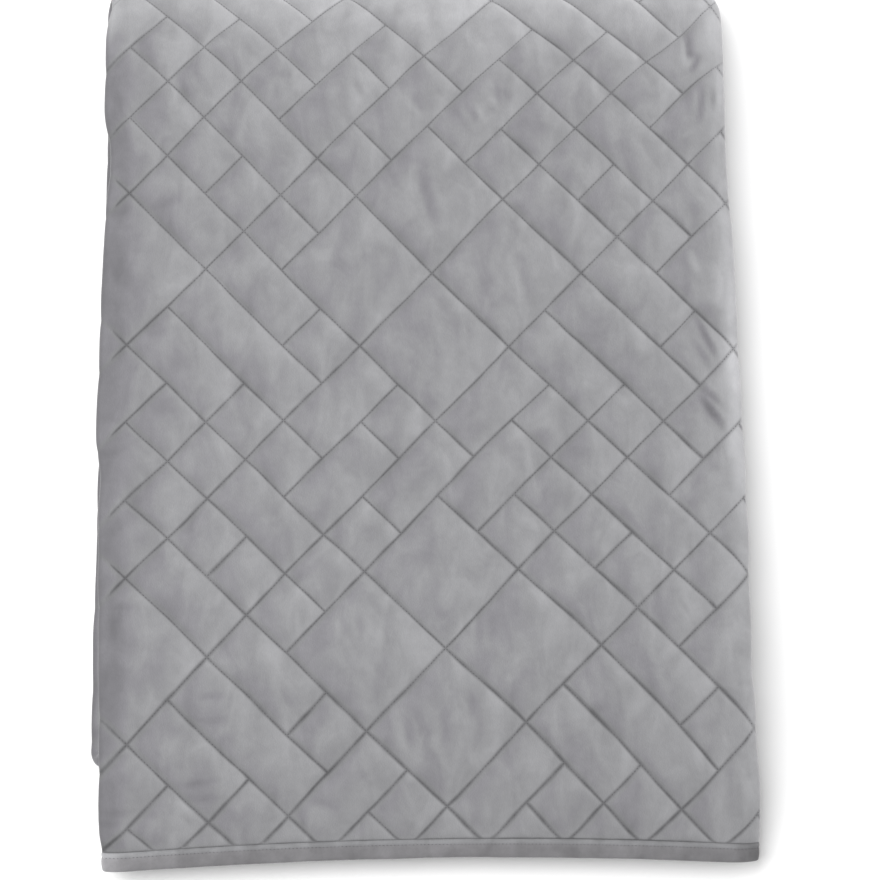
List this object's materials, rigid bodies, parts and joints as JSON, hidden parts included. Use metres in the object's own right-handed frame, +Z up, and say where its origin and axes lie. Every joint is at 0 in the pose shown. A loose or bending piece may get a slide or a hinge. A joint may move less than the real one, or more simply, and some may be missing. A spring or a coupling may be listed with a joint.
{
  "type": "folded quilted bedspread",
  "caption": "Grey velvet bedspread, quilted in squares and oblongs on the diagonal, with bound edges, folded in thirds both ways and lying flat.",
  "frame": {"origin": "on the resting surface, below the middle of the folded bedspread", "axes": "+Z up, +Y along the folded length away from the bound end on top, +X across to the right"},
  "size_m": [0.6316, 0.895, 0.0785],
  "materials": {
    "quilted_velvet": "short velvet pile, quilted",
    "velvet_binding": "short velvet pile, turned over the edge"
  },
  "bodies": {
    "root": {"quilted_panel": "quilted_velvet", "binding_top_end": "velvet_binding", "binding_inner_end": "velvet_binding", "binding_left_side": "velvet_binding", "binding_right_side": "velvet_binding"}
  },
  "joints": []
}
